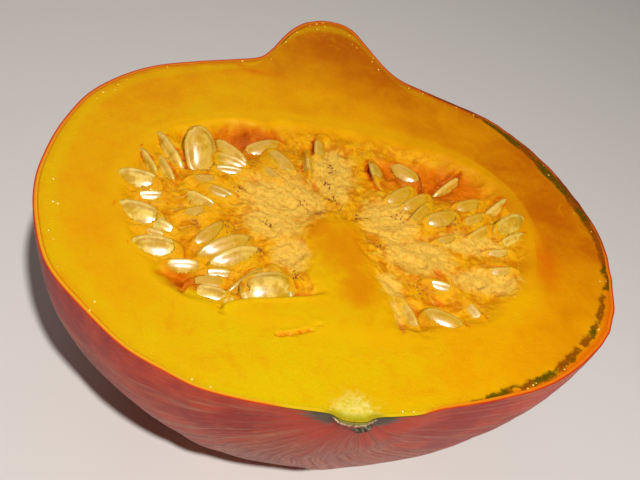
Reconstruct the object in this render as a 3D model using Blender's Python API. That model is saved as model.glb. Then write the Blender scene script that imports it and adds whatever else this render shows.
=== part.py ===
"""Half of a red winter squash, cut lengthwise, lying on its skin with the cut face up and level.

The fruit's axis lies in the cut face and runs along Y, from the blossom scar at -Y to the neck
at +Y. The origin is the middle of the flat spot that the half rests on. Sizes are in
millimetres up to place(), which turns them into metres and puts the cut face at its height.
"""

import math

import bmesh
import bpy
from mathutils import Matrix, Vector, noise

MM = 0.001

# Driving dimensions. The rind's lowest 4 mm is pressed flat, which gives the resting spot.
CUT_HEIGHT = 104.2
REST_ACROSS = 3.0
REST_ALONG = 88.0
DEPTH_TO_WIDTH = 1.03
RIND_THICKNESS = 1.4
JOINT_GAP = 0.3

# Outline of the cut face: distance along the axis from the scar, then the left and right edge.
FRUIT_OUTLINE = [
    (-0.8, 3.0, 3.0),
    (-0.4, -0.5, 6.5),
    (0.8, -3.0, 8.8),
    (1.6, -6.0, 11.5),
    (2.2, -17.0, 16.0),
    (3.6, -30.0, 24.0),
    (6.2, -43.0, 32.0),
    (10.5, -52.5, 48.5),
    (18.0, -66.0, 69.0),
    (30.0, -79.0, 86.5),
    (45.0, -92.0, 99.5),
    (62.0, -98.5, 105.2),
    (80.0, -101.6, 107.6),
    (96.0, -100.5, 106.0),
    (112.0, -97.0, 100.5),
    (128.0, -90.8, 92.5),
    (141.0, -80.5, 82.0),
    (150.0, -68.5, 71.0),
    (157.0, -52.5, 55.5),
    (162.0, -38.5, 44.5),
    (166.5, -27.5, 35.0),
    (173.0, -22.5, 29.0),
    (181.0, -18.5, 24.5),
    (190.0, -13.5, 19.8),
    (197.0, -7.5, 15.8),
    (201.0, -0.5, 11.0),
    (202.0, 5.0, 5.0),
]

# Outline of the seed cavity in the same terms.
CAVITY_OUTLINE = [
    (28.0, 6.0, 6.0),
    (29.5, -12.0, 24.0),
    (32.5, -32.0, 37.0),
    (38.0, -51.0, 51.0),
    (46.0, -61.0, 62.0),
    (56.0, -68.0, 71.0),
    (68.0, -74.0, 76.0),
    (82.0, -76.5, 78.0),
    (96.0, -74.0, 77.0),
    (108.0, -67.5, 72.0),
    (118.0, -57.0, 62.0),
    (125.0, -41.0, 47.0),
    (129.0, -21.0, 25.0),
    (130.5, 0.0, 0.0),
]

# Mesh fineness: meridians are counted round the whole fruit, stations along its axis. Meridians
# that don't divide by 4 leave the middle of the resting spot inside a face.
MERIDIANS = 42
STATIONS = 38
CUT_SLACK = 1e-6

# Low ribs that run from end to end of the skin, and its slow unevenness.
RIBS = 10
RIB_HEIGHT = 0.9
UNEVENNESS = 1.1
UNEVENNESS_SPAN = 38.0

# The pulp's surface below the cut face, and the hollows in it: centre across and along,
# reach across and along, and depth.
PULP_DROP = 2.2
HOLLOWS = [
    (-38.0, 114.0, 24.0, 11.0, 7.5),
    (48.0, 106.0, 26.0, 13.0, 6.5),
    (-50.0, 45.0, 13.0, 8.0, 4.0),
    (-62.0, 74.0, 16.0, 22.0, 1.6),
    (30.0, 42.0, 22.0, 9.0, 1.4),
]

# Where the knife went through firm tissue, flush with the cut face: from and to, across and
# along, and half the width.
FIRM_STROKES = [
    ((1.0, 36.0), (1.0, 69.0), 11.0),
    ((-29.0, 35.0), (0.0, 36.0), 6.5),
]
FIRM_EDGE = 4.0

# Fibres fan out from the head of the firm tongue.
FIBRE_HUB = (0.0, 78.0)
FIBRE_RIDGES = 22
FIBRE_HEIGHT = 0.7
FIBRE_FULL_AT = 35.0
PULP_CELL = 4.1
PULP_ROUGHNESS = 0.8
PULP_ROUGHNESS_SPAN = 9.0

SEED_LENGTH = 17.0
SEED_WIDTH = 10.5
SEED_THICKNESS = 4.2
SEED_SIDES = 10
SEED_TAPER = 0.35

# The seeds that show: across, along, height of the centre against the cut face, heading of
# the long axis in degrees from +X, rise of that axis, and roll, where 90 stands on edge.
SEEDS = [
    (-58, 104, -4.0, 127, 0, 62),
    (-48, 108, -3.0, 108, 38, 8),
    (-64, 98, -4.2, 122, -4, 66),
    (-55, 97, -4.6, 118, -5, 68),
    (-65, 90, -3.8, -15, 0, 40),
    (-37, 110, -5.0, -42, 0, 48),
    (-37, 105, -5.0, -12, 0, 42),
    (-37, 100, -4.6, -8, 0, 30),
    (-25, 118, -6.0, 25, 0, 28),
    (-17, 106, -3.4, -60, 0, 25),
    (-22, 99, -3.4, -40, 0, 20),
    (-5, 115, -3.6, 92, 0, 55),
    (-9, 104, -3.6, 95, 0, 75),
    (-45, 95, -3.4, 8, 0, 25),
    (-40, 90, -3.6, -10, 0, 50),
    (-46, 83, -3.6, -15, 0, 62),
    (-64, 84, -4.0, 5, 0, 62),
    (-66, 75, -3.4, -20, 0, 34),
    (-48, 78, -3.2, -5, 0, 30),
    (-58, 69, -3.6, -20, 0, 52),
    (-61, 65, -4.4, -10, 0, 45),
    (-43, 69, -3.0, 42, 0, 40),
    (-39, 63, -3.0, 35, 0, 66),
    (-35, 58, -2.8, 32, 0, 55),
    (-61, 59, -3.0, -15, 0, 32),
    (-51, 54, -3.4, -5, 0, 48),
    (-39, 52, -3.8, 5, 0, 50),
    (-43, 49, -4.4, 10, 0, 30),
    (-42, 43, -3.4, -10, 0, 36),
    (-30, 49, -3.4, 42, 0, 78),
    (-23, 49, -3.2, 20, 0, 22),
    (18, 104, -4.0, 100, 0, 40),
    (31, 112, -4.2, -25, 0, 24),
    (29, 104, -5.2, 10, 0, 40),
    (50, 105, -4.6, 45, 6, 66),
    (66, 95, -3.4, 41, 4, 68),
    (26, 94, -3.8, 36, 0, 55),
    (31, 90, -4.0, 40, 0, 55),
    (33, 85, -3.6, 50, 0, 52),
    (41, 83, -3.4, 15, 0, 30),
    (54, 94, -4.6, 15, 0, 38),
    (54, 87, -4.2, 20, 0, 52),
    (56, 79, -3.8, 38, 0, 62),
    (70, 85, -3.2, 35, 0, 40),
    (68, 78, -3.4, 25, 0, 48),
    (62, 75, -3.8, 8, 0, 62),
    (61, 66, -3.6, 8, 0, 64),
    (43, 78, -3.6, 25, 0, 45),
    (38, 57, -3.2, -10, 0, 58),
    (25, 41, -2.8, -62, 0, 52),
    (36, 41, -2.8, -20, 0, 26),
    (47, 47, -3.8, -45, 0, 50),
]

COLOURS = {
    "rind": ((0.36, 0.045, 0.022), 0.42),
    "flesh": ((0.84, 0.38, 0.008), 0.38),
    "pulp_and_seeds": ((0.72, 0.34, 0.045), 0.35),
}


def place(across, along, height):
    """A point in metres from its place across and along the fruit and above the cut face."""
    return Vector((across - REST_ACROSS, along - REST_ALONG, CUT_HEIGHT + height)) * MM


def smooth_step(value):
    """0 below 0, 1 above 1, and an even rise between."""
    value = min(max(value, 0.0), 1.0)
    return value * value * (3 - 2 * value)


def row_at(rows, share):
    """The row at a share of the way down a table, on a smooth curve through its rows."""
    spot = share * (len(rows) - 1)
    start = min(int(spot), len(rows) - 2)
    t = spot - start
    picks = [rows[min(max(start + step, 0), len(rows) - 1)] for step in (-1, 0, 1, 2)]
    return [
        0.5 * (2 * b + (c - a) * t + (2 * a - 5 * b + 4 * c - d) * t**2 + (3 * b - a - 3 * c + d) * t**3)
        for a, b, c, d in zip(*picks)
    ]


def swelling(direction, turn):
    """How far ribs and unevenness lift the skin. They fade out at the cut face and the ends."""
    away_from_cut = abs(direction.z) ** 1.5
    ribs = -RIB_HEIGHT * math.cos(RIBS * turn)
    uneven = UNEVENNESS * noise.noise(direction * (100 / UNEVENNESS_SPAN))
    return (ribs + uneven) * away_from_cut


def fruit_point(direction, rows, swells):
    """Where a direction from the middle of a unit ball lands on the surface that rows describe."""
    share = math.acos(min(max(-direction.y, -1.0), 1.0)) / math.pi
    along, left, right = row_at(rows, share)
    turn = math.atan2(direction.z, direction.x)
    radius = (right - left) / 2
    at_pole = math.hypot(direction.x, direction.z) < 1e-6
    if swells and not at_pole:
        radius += swelling(direction, turn)
    if at_pole:
        radius = 0
    across = (left + right) / 2 + radius * math.cos(turn)
    return place(across, along, radius * DEPTH_TO_WIDTH * math.sin(turn))


def add_layer(bm, rows, inset, swells=True):
    """Adds one closed surface of the whole fruit, pushed in from where rows put it.

    The ball that it starts from is laid with its poles along Y and two meridians in the cut.
    """
    laid = Matrix.Rotation(math.pi / 2, 4, "Y") @ Matrix.Rotation(-math.pi / 2, 4, "X")
    verts = bmesh.ops.create_uvsphere(
        bm, u_segments=MERIDIANS, v_segments=STATIONS, radius=1, matrix=laid
    )["verts"]
    for vert in verts:
        vert.co = fruit_point(vert.co.copy(), rows, swells)
    bm.normal_update()
    for vert in verts:
        vert.co -= vert.normal * inset * MM
        vert.co.z = max(vert.co.z, inset * MM)
    return verts


def cut_in_half(bm, verts):
    """The knife: keeps what lies below the cut face, and returns the points of the cut edge."""
    edges = {edge for vert in verts for edge in vert.link_edges}
    faces = {face for vert in verts for face in vert.link_faces}
    cut = bmesh.ops.bisect_plane(
        bm,
        geom=[*verts, *edges, *faces],
        dist=CUT_SLACK,
        plane_co=place(0, 0, 0),
        plane_no=(0, 0, 1),
        clear_outer=True,
    )["geom_cut"]
    return [item for item in cut if isinstance(item, bmesh.types.BMVert)]


def half_shell(outer, inner):
    """A wall between two halved layers, each given as add_layer's arguments, with a flat rim."""
    bm = bmesh.new()
    outer_edge = cut_in_half(bm, add_layer(bm, *outer))
    inner_edge = cut_in_half(bm, add_layer(bm, *inner))
    # The two cut edges stand apart in height while they are joined, or the join has no
    # direction to go by.
    for vert in inner_edge:
        vert.co.z += MM
    bmesh.ops.bridge_loops(bm, edges=[edge for edge in bm.edges if edge.is_boundary])
    for vert in outer_edge + inner_edge:
        vert.co.z = CUT_HEIGHT * MM
    bmesh.ops.recalc_face_normals(bm, faces=bm.faces[:])
    return bm


def finished(bm, name):
    """The named object of a bmesh, with its own material, shaded smooth but for its cut edges."""
    mesh = bpy.data.meshes.new(name)
    bm.to_mesh(mesh)
    bm.free()
    part = bpy.data.objects.new(name, mesh)
    bpy.context.scene.collection.objects.link(part)
    colour, roughness = COLOURS[name]
    material = bpy.data.materials.new(name)
    material.use_nodes = True
    shader = material.node_tree.nodes["Principled BSDF"]
    shader.inputs["Base Color"].default_value = (*colour, 1)
    shader.inputs["Roughness"].default_value = roughness
    shader.inputs["Metallic"].default_value = 0
    mesh.materials.append(material)
    mesh.shade_smooth()
    mesh.set_sharp_from_angle(angle=math.radians(40))
    return part


def make_rind():
    """The thin skin, an open half shell."""
    outside = (FRUIT_OUTLINE, 0)
    inside = (FRUIT_OUTLINE, RIND_THICKNESS)
    return finished(half_shell(outside, inside), "rind")


def make_flesh():
    """The thick wall between the skin and the seed cavity."""
    outside = (FRUIT_OUTLINE, RIND_THICKNESS + JOINT_GAP)
    cavity = (CAVITY_OUTLINE, 0, False)
    return finished(half_shell(outside, cavity), "flesh")


def firmness(across, along):
    """1 on the smooth tongue that the knife went through, 0 in the loose pulp."""
    spot = Vector((across, along, 0))
    firm = 0.0
    for start, end, half_width in FIRM_STROKES:
        a, b = Vector((*start, 0)), Vector((*end, 0))
        share = min(max((spot - a).dot(b - a) / (b - a).length_squared, 0), 1)
        outside = (spot - a.lerp(b, share)).length - half_width
        firm = max(firm, 1 - smooth_step(outside / FIRM_EDGE))
    return firm


def pulp_height(across, along):
    """Height of the pulp's surface against the cut face: hollows, fanned fibres and roughness."""
    height = -PULP_DROP
    for x, y, reach_x, reach_y, depth in HOLLOWS:
        height -= depth * math.exp(-(((across - x) / reach_x) ** 2) - ((along - y) / reach_y) ** 2)
    from_hub = Vector((across - FIBRE_HUB[0], along - FIBRE_HUB[1]))
    angle = math.atan2(from_hub.y, from_hub.x)
    spread = smooth_step(from_hub.length / FIBRE_FULL_AT)
    height += FIBRE_HEIGHT * spread * math.sin(FIBRE_RIDGES * angle)
    where = Vector((across, along, 0)) / PULP_ROUGHNESS_SPAN
    height += PULP_ROUGHNESS * noise.noise(where)
    return height * (1 - firmness(across, along))


def relief_block():
    """A block whose top is the pulp's surface and which reaches below the cavity."""
    low_along, high_along = CAVITY_OUTLINE[0][0], CAVITY_OUTLINE[-1][0]
    low_across = min(row[1] for row in CAVITY_OUTLINE)
    high_across = max(row[2] for row in CAVITY_OUTLINE)
    width = high_across - low_across + 2 * PULP_CELL
    length = high_along - low_along + 2 * PULP_CELL
    bm = bmesh.new()
    bmesh.ops.create_grid(
        bm,
        x_segments=round(width / PULP_CELL),
        y_segments=round(length / PULP_CELL),
        size=0.5,
    )
    for vert in bm.verts:
        across = (low_across + high_across) / 2 + vert.co.x * width
        along = (low_along + high_along) / 2 + vert.co.y * length
        vert.co = place(across, along, pulp_height(across, along))
    top = bmesh.ops.extrude_face_region(bm, geom=bm.faces[:])["geom"]
    for item in top:
        if isinstance(item, bmesh.types.BMVert):
            item.co.z = 0
    bmesh.ops.recalc_face_normals(bm, faces=bm.faces[:])
    return bm


def loose_object(bm, name, collection):
    """A helper object that a Boolean reads and that is removed afterwards."""
    mesh = bpy.data.meshes.new(name)
    bm.to_mesh(mesh)
    bm.free()
    helper = bpy.data.objects.new(name, mesh)
    collection.objects.link(helper)
    return helper


def seed_shape(across, along, height, heading, rise, roll):
    """One plump flat seed, drawn out to a blunt point at one end, in its place."""
    bm = bmesh.new()
    bmesh.ops.create_uvsphere(bm, u_segments=SEED_SIDES, v_segments=4, radius=1)
    for vert in bm.verts:
        narrowing = 1 - SEED_TAPER * max(vert.co.x, 0) ** 2
        vert.co.x *= SEED_LENGTH / 2 * MM
        vert.co.y *= SEED_WIDTH / 2 * narrowing * MM
        vert.co.z *= SEED_THICKNESS / 2 * MM
    turned = (
        Matrix.Rotation(math.radians(heading), 4, "Z")
        @ Matrix.Rotation(math.radians(-rise), 4, "Y")
        @ Matrix.Rotation(math.radians(roll), 4, "X")
    )
    bm.transform(Matrix.Translation(place(across, along, height)) @ turned)
    return bm


def apply_boolean(part, operation, **operand):
    """Applies one exact Boolean to the part."""
    modifier = part.modifiers.new(operation.title(), "BOOLEAN")
    modifier.operation = operation
    modifier.solver = "EXACT"
    for setting, value in operand.items():
        setattr(modifier, setting, value)
    graph = bpy.context.evaluated_depsgraph_get()
    made = bpy.data.meshes.new_from_object(part.evaluated_get(graph))
    part.modifiers.clear()
    old = part.data
    part.data = made
    bpy.data.meshes.remove(old)


def make_pulp():
    """The fibrous filling of the cavity with the seeds that stand in it, fused into one body."""
    bm = bmesh.new()
    add_layer(bm, CAVITY_OUTLINE, JOINT_GAP, swells=False)
    pulp = finished(bm, "pulp_and_seeds")
    helpers = bpy.data.collections.new("helpers")
    bpy.context.scene.collection.children.link(helpers)
    block = loose_object(relief_block(), "relief", helpers)
    apply_boolean(pulp, "INTERSECT", object=block)
    bpy.data.objects.remove(block)
    for number, seed in enumerate(SEEDS):
        loose_object(seed_shape(*seed), f"seed_{number}", helpers)
    apply_boolean(pulp, "UNION", operand_type="COLLECTION", collection=helpers)
    for helper in list(helpers.objects):
        bpy.data.objects.remove(helper)
    bpy.data.collections.remove(helpers)
    return pulp


for old_object in list(bpy.data.objects):
    bpy.data.objects.remove(old_object)
make_rind()
make_flesh()
make_pulp()
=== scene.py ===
"""The looks of half a red winter squash: skin, flesh, seeds, pulp, fibres and scar round its CAD frame."""

import math
import random

import bmesh
import bpy
from mathutils import Matrix, Vector, noise
from mathutils.bvhtree import BVHTree


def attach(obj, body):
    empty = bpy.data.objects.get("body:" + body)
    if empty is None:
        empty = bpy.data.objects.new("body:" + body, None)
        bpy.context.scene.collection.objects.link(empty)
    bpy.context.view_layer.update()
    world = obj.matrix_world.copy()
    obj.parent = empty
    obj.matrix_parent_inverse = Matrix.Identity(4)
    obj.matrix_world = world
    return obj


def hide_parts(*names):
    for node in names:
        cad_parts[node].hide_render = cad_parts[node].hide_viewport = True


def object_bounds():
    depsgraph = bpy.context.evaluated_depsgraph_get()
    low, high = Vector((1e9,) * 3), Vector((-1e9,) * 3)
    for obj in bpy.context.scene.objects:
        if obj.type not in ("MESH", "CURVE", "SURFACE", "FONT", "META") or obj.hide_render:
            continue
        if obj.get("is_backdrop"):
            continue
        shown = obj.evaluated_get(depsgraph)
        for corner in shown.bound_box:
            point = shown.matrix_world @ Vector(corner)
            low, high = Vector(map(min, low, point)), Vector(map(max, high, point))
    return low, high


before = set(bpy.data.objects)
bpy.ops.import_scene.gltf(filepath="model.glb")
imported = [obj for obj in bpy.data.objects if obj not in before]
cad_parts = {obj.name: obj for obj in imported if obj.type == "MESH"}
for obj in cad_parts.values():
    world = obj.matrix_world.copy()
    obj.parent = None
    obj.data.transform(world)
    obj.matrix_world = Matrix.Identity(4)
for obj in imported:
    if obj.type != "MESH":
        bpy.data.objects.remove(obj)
cad_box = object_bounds()

# The viewpoint: about a third of a metre from the fruit, from over its blossom end and a little
# to the left, looking down, with the camera rolled so that the fruit's right side hangs low.
CAMERA_PLACE = (-0.0611, -0.2001, 0.3060)
CAMERA_HEADING = -16.4
CAMERA_LOOKS_DOWN = 47.0
CAMERA_ROLL = 19.2
CAMERA_LENS = 45.0

camera_data = bpy.data.cameras.new("camera")
camera_data.lens = CAMERA_LENS
camera_data.sensor_width = 36.0
camera_data.clip_start = 0.01
camera = bpy.data.objects.new("camera", camera_data)
bpy.context.scene.collection.objects.link(camera)
camera_turn = (
    Matrix.Rotation(math.radians(CAMERA_HEADING), 4, "Z")
    @ Matrix.Rotation(math.radians(90 - CAMERA_LOOKS_DOWN), 4, "X")
    @ Matrix.Rotation(math.radians(CAMERA_ROLL), 4, "Z")
)
camera.matrix_world = Matrix.Translation(CAMERA_PLACE) @ camera_turn
bpy.context.scene.camera = camera

# The studio: one main light over the camera's right shoulder, so that the shadow falls to the
# left and below, a wide dim one overhead, and a pale floor. Plain colour rendering keeps the
# flesh as saturated as it is.
bpy.context.scene.view_settings.view_transform = "Standard"


def add_light(name, stands, aim, size, power, tint):
    """A round area light that stands at one point and shines at another."""
    data = bpy.data.lights.new(name, "AREA")
    data.shape = "DISK"
    data.size = size
    data.energy = power
    data.color = tint
    light = bpy.data.objects.new(name, data)
    bpy.context.scene.collection.objects.link(light)
    facing = (Vector(aim) - Vector(stands)).to_track_quat("-Z", "Y")
    light.matrix_world = Matrix.Translation(stands) @ facing.to_matrix().to_4x4()


add_light("key", (0.015, -0.40, 0.77), (0.0, 0.02, 0.08), size=0.03, power=7.2, tint=(1.0, 0.98, 0.95))
add_light("overhead", (-0.15, 0.45, 0.8), (0.0, 0.05, 0.05), size=0.8, power=0.9, tint=(1.0, 0.97, 0.94))

world = bpy.data.worlds.new("studio")
world.use_nodes = True
around = world.node_tree.nodes["Background"].inputs
around["Color"].default_value = (1.0, 0.94, 0.88, 1.0)
around["Strength"].default_value = 0.05
bpy.context.scene.world = world


def new_material(name, **sockets):
    """A material, its node tree and its Principled shader, with the shader's fixed values set."""
    material = bpy.data.materials.new(name)
    material.use_nodes = True
    shader = material.node_tree.nodes["Principled BSDF"]
    for socket, value in sockets.items():
        shader.inputs[socket.replace("_", " ")].default_value = value
    return material, material.node_tree, shader


floor_bm = bmesh.new()
bmesh.ops.create_grid(floor_bm, x_segments=8, y_segments=8, size=1.5)
floor_data = bpy.data.meshes.new("floor")
floor_bm.to_mesh(floor_data)
floor_bm.free()
floor = bpy.data.objects.new("floor", floor_data)
bpy.context.scene.collection.objects.link(floor)
floor_material, _, floor_shader = new_material("matt_table", Roughness=0.75)
floor_shader.inputs["Base Color"].default_value = (0.70, 0.665, 0.635, 1.0)
floor_data.materials.append(floor_material)
floor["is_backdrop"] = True

# The skin is about 1.4 mm of firm rind, red with an uneven purple-grey bloom that lies in
# streaks from end to end. It follows the fruit's outline in the cut face, drawn as rows of
# distance along the axis from the scar, then the left and the right edge, in millimetres.
MM = 0.001
CUT_HEIGHT = 104.2
REST_ACROSS = 3.0
REST_ALONG = 88.0
DEPTH_TO_WIDTH = 1.03
RIND_THICKNESS = 1.4
FRUIT_OUTLINE = [
    (-0.8, 3.0, 3.0),
    (-0.4, -0.5, 6.5),
    (0.8, -3.0, 8.8),
    (1.6, -6.0, 11.5),
    (2.2, -17.0, 16.0),
    (3.6, -30.0, 24.0),
    (6.2, -43.0, 32.0),
    (10.5, -52.5, 48.5),
    (18.0, -66.0, 69.0),
    (30.0, -79.0, 86.5),
    (45.0, -92.0, 99.5),
    (62.0, -98.5, 105.2),
    (80.0, -101.6, 107.6),
    (96.0, -100.5, 106.0),
    (112.0, -97.0, 100.5),
    (128.0, -90.8, 92.5),
    (141.0, -80.5, 82.0),
    (150.0, -68.5, 71.0),
    (157.0, -52.5, 55.5),
    (162.0, -38.5, 44.5),
    (166.5, -27.5, 35.0),
    (173.0, -22.5, 29.0),
    (181.0, -18.5, 24.5),
    (190.0, -13.5, 19.8),
    (197.0, -7.5, 15.8),
    (201.0, -0.5, 11.0),
    (202.0, 5.0, 5.0),
]
STATIONS = 260
FINE_MERIDIANS = 240
HIDDEN_MERIDIANS = 24
RIBS = 10
RIB_HEIGHT = 0.9
UNEVENNESS = 1.1
UNEVENNESS_SPAN = 38.0
DIMPLE_DEPTH = 0.5
DIMPLE_SPAN = 20.0
LUMP_DEPTH = 2.4
LUMP_SPAN = 15.0
WRINKLE_DEPTH = 0.10
EDGE_WAVES = 0.9
EDGE_WAVE_SPAN = 7.0


def place(across, along, height):
    """A point in metres from its place across and along the fruit and above the cut face."""
    return Vector((across - REST_ACROSS, along - REST_ALONG, CUT_HEIGHT + height)) * MM


def spot_of(point):
    """How far across and along the fruit and above the cut face a point in metres is."""
    return point.x / MM + REST_ACROSS, point.y / MM + REST_ALONG, point.z / MM - CUT_HEIGHT


def smooth_step(value):
    """0 below 0, 1 above 1, and an even rise between."""
    value = min(max(value, 0.0), 1.0)
    return value * value * (3 - 2 * value)


def hump(offset, reach):
    """1 at the middle of a soft hump, and nearly 0 at twice its reach."""
    return math.exp(-((offset / reach) ** 2))


def row_at(rows, share):
    """The row at a share of the way down a table, on a smooth curve through its rows."""
    spot = share * (len(rows) - 1)
    start = min(int(spot), len(rows) - 2)
    t = spot - start
    picks = [rows[min(max(start + step, 0), len(rows) - 1)] for step in (-1, 0, 1, 2)]
    return [
        0.5 * (2 * b + (c - a) * t + (2 * a - 5 * b + 4 * c - d) * t**2 + (3 * b - a - 3 * c + d) * t**3)
        for a, b, c, d in zip(*picks)
    ]


def swelling(direction, turn):
    """How far ribs, unevenness, dimples and wrinkles lift the skin."""
    away_from_cut = abs(direction.z) ** 1.5
    lift = -RIB_HEIGHT * math.cos(RIBS * turn)
    lift += UNEVENNESS * noise.noise(direction * (100 / UNEVENNESS_SPAN))
    fine = DIMPLE_DEPTH * noise.noise(direction * (100 / DIMPLE_SPAN) + Vector((7, 0, 0)))
    fine += LUMP_DEPTH * noise.noise(direction * (100 / LUMP_SPAN)) * away_from_cut
    wrinkle = noise.noise(Vector((turn * 26, direction.y * 3, 0)))
    fine += WRINKLE_DEPTH * wrinkle * (1 + 2 * max(-direction.y, 0) ** 6)
    return lift * away_from_cut + fine


def fruit_point(direction, rows, swells):
    """Where a direction from the middle of a unit ball lands on the surface that rows describe."""
    share = math.acos(min(max(-direction.y, -1.0), 1.0)) / math.pi
    along, left, right = row_at(rows, share)
    turn = math.atan2(direction.z, direction.x)
    radius = (right - left) / 2
    at_pole = math.hypot(direction.x, direction.z) < 1e-6
    if swells and not at_pole:
        radius += swelling(direction, turn) * smooth_step(radius / 8)
        if direction.x > 0:
            radius -= EDGE_WAVES * abs(noise.noise(direction * (100 / EDGE_WAVE_SPAN))) * direction.x
    if at_pole:
        radius = 0
    across = (left + right) / 2 + radius * math.cos(turn)
    return place(across, along, radius * DEPTH_TO_WIDTH * math.sin(turn))


def new_body(*layers):
    """An empty mesh in the making, whose points carry the named numbers."""
    bm = bmesh.new()
    for name in layers:
        bm.verts.layers.float.new(name)
    return bm


def add_layer(bm, rows, inset, meridians, swells=True):
    """Adds one surface of the half fruit, and returns the points of its cut edge.

    Each point notes where it lies on the fruit, where the mesh keeps that.
    """
    turn_of = bm.verts.layers.float.get("turn")
    share_of = bm.verts.layers.float.get("share")
    laid = Matrix.Rotation(math.pi / 2, 4, "Y") @ Matrix.Rotation(-math.pi / 2, 4, "X")
    verts = bmesh.ops.create_uvsphere(
        bm, u_segments=meridians, v_segments=STATIONS, radius=1, matrix=laid
    )["verts"]
    at_cut = [vert for vert in verts if abs(vert.co.z) < 1e-6]
    for vert in verts:
        if turn_of:
            vert[turn_of] = abs(math.atan2(vert.co.z, vert.co.x)) / math.pi
            vert[share_of] = math.acos(min(max(-vert.co.y, -1.0), 1.0)) / math.pi
        vert.co = fruit_point(vert.co.copy(), rows, swells)
    bm.normal_update()
    for vert in verts:
        vert.co -= vert.normal * inset * MM
        vert.co.z = max(vert.co.z, inset * MM)
    for vert in at_cut:
        vert.co.z = CUT_HEIGHT * MM
    return cut_in_half(bm, verts)


def cut_in_half(bm, verts):
    """The knife: keeps what lies below the cut face, and returns the points of the cut edge."""
    edges = {edge for vert in verts for edge in vert.link_edges}
    faces = {face for vert in verts for face in vert.link_faces}
    cut = bmesh.ops.bisect_plane(
        bm,
        geom=[*verts, *edges, *faces],
        dist=1e-6,
        plane_co=place(0, 0, 0),
        plane_no=(0, 0, 1),
        clear_outer=True,
    )["geom_cut"]
    return [item for item in cut if isinstance(item, bmesh.types.BMVert)]


def add_rim(bm, outer_edge, inner_edge, cuts):
    """Joins two cut edges by a flat rim of many rings, and returns the points in the cut face.

    Each point of the rim notes how far it is from the outer edge and from the inner one.
    """
    for vert in inner_edge:
        vert.co.z += MM
    loops = [edge for edge in bm.edges if edge.is_boundary or edge.is_wire]
    rim = bmesh.ops.bridge_loops(bm, edges=loops)
    for vert in outer_edge + inner_edge:
        vert.co.z = CUT_HEIGHT * MM
    outside, inside = set(outer_edge), set(inner_edge)
    from_outer = bm.verts.layers.float["from_outer"]
    from_inner = bm.verts.layers.float["from_inner"]
    spokes = []
    for edge in rim["edges"]:
        outer = next((vert for vert in edge.verts if vert in outside), None)
        inner = next((vert for vert in edge.verts if vert in inside), None)
        if outer and inner:
            outer[from_inner] = inner[from_outer] = edge.calc_length() / MM
            spokes.append(edge)
    bmesh.ops.subdivide_edges(bm, edges=spokes, cuts=cuts, use_grid_fill=True)
    bmesh.ops.recalc_face_normals(bm, faces=bm.faces[:])
    return [vert for vert in bm.verts if abs(vert.co.z - CUT_HEIGHT * MM) < 1e-7]


def finished(bm, name, slot, material, *replaced):
    """The named piece of a bmesh, shaded smooth, in place of nodes of the frame."""
    data = bpy.data.meshes.new(name)
    bm.to_mesh(data)
    bm.free()
    piece = bpy.data.objects.new(name, data)
    bpy.context.scene.collection.objects.link(piece)
    data.shade_smooth()
    data.materials.append(material)
    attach(piece, "root")
    if replaced:
        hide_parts(*replaced)
    return piece


def add_node(kind, sockets, tree=None, **settings):
    """A shader node whose sockets take a value or another node's output, in that output's tree."""
    outputs = [value for value in sockets.values() if isinstance(value, bpy.types.NodeSocket)]
    tree = tree or outputs[0].id_data
    made = tree.nodes.new("ShaderNode" + kind)
    for name, value in settings.items():
        setattr(made, name, value)
    for name, value in sockets.items():
        if isinstance(value, bpy.types.NodeSocket):
            tree.links.new(value, made.inputs[name])
        else:
            made.inputs[name].default_value = value
    return made


def calc(operation, *values):
    """A Math node's output."""
    return add_node("Math", dict(enumerate(values)), operation=operation).outputs[0]


def total(first, *others):
    """The sum of numbers, each a value or another node's output."""
    for other in others:
        first = calc("ADD", first, other)
    return first


def product(first, *others):
    """The product of numbers, each a value or another node's output."""
    for other in others:
        first = calc("MULTIPLY", first, other)
    return first


def frayed_by(value, wander, amount=1.0):
    """A number whose edges fray where a noise is over or under its middle."""
    return total(value, product(calc("SUBTRACT", wander, 0.5), amount))


def vector_sum(*vectors):
    """The sum of two vectors."""
    return add_node("VectorMath", dict(enumerate(vectors)), operation="ADD").outputs[0]


def length_of(vector):
    """A vector's length."""
    return add_node("VectorMath", {0: vector}, operation="LENGTH").outputs["Value"]


def scaled(vector, factors):
    """A vector with each of its parts multiplied."""
    return add_node("VectorMath", {0: vector, 1: factors}, operation="MULTIPLY").outputs[0]


def noise_of(vector, detail=4.0, roughness=0.55, distortion=0.0):
    """Soft noise, one unit wide, between about 0.3 and 0.7."""
    sockets = {"Vector": vector, "Scale": 1.0, "Detail": detail, "Roughness": roughness}
    return add_node("TexNoise", {**sockets, "Distortion": distortion}).outputs["Fac"]


def own_place(tree):
    """Where a point is in the object's own space, in metres."""
    return add_node("TexCoord", {}, tree).outputs["Object"]


def speckle(tree, scale, *character):
    """Soft noise of the same scale all ways, so many waves to the metre."""
    return noise_of(scaled(own_place(tree), (scale, scale, scale)), *character)


def fade(value, start, end, low=0.0, high=1.0):
    """low where value is at start or before, high where it is at end or past it."""
    sockets = {"Value": value, "From Min": start, "From Max": end, "To Min": low, "To Max": high}
    return add_node("MapRange", sockets, interpolation_type="SMOOTHSTEP").outputs[0]


def attribute(tree, name):
    """A number kept on the mesh's points."""
    return add_node("Attribute", {}, tree, attribute_name=name).outputs["Fac"]


def colour(red, green, blue):
    """A screen colour, 0 to 255, as the shader counts it."""
    return (*((part / 255) ** 2.2 for part in (red, green, blue)), 1.0)


def blend(factor, *tones):
    """Two colours mixed, each a screen colour or another node's output."""
    first, second = (colour(*tone) if isinstance(tone, tuple) else tone for tone in tones)
    return add_node("Mix", {0: factor, 6: first, 7: second}, data_type="RGBA").outputs[2]


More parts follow.
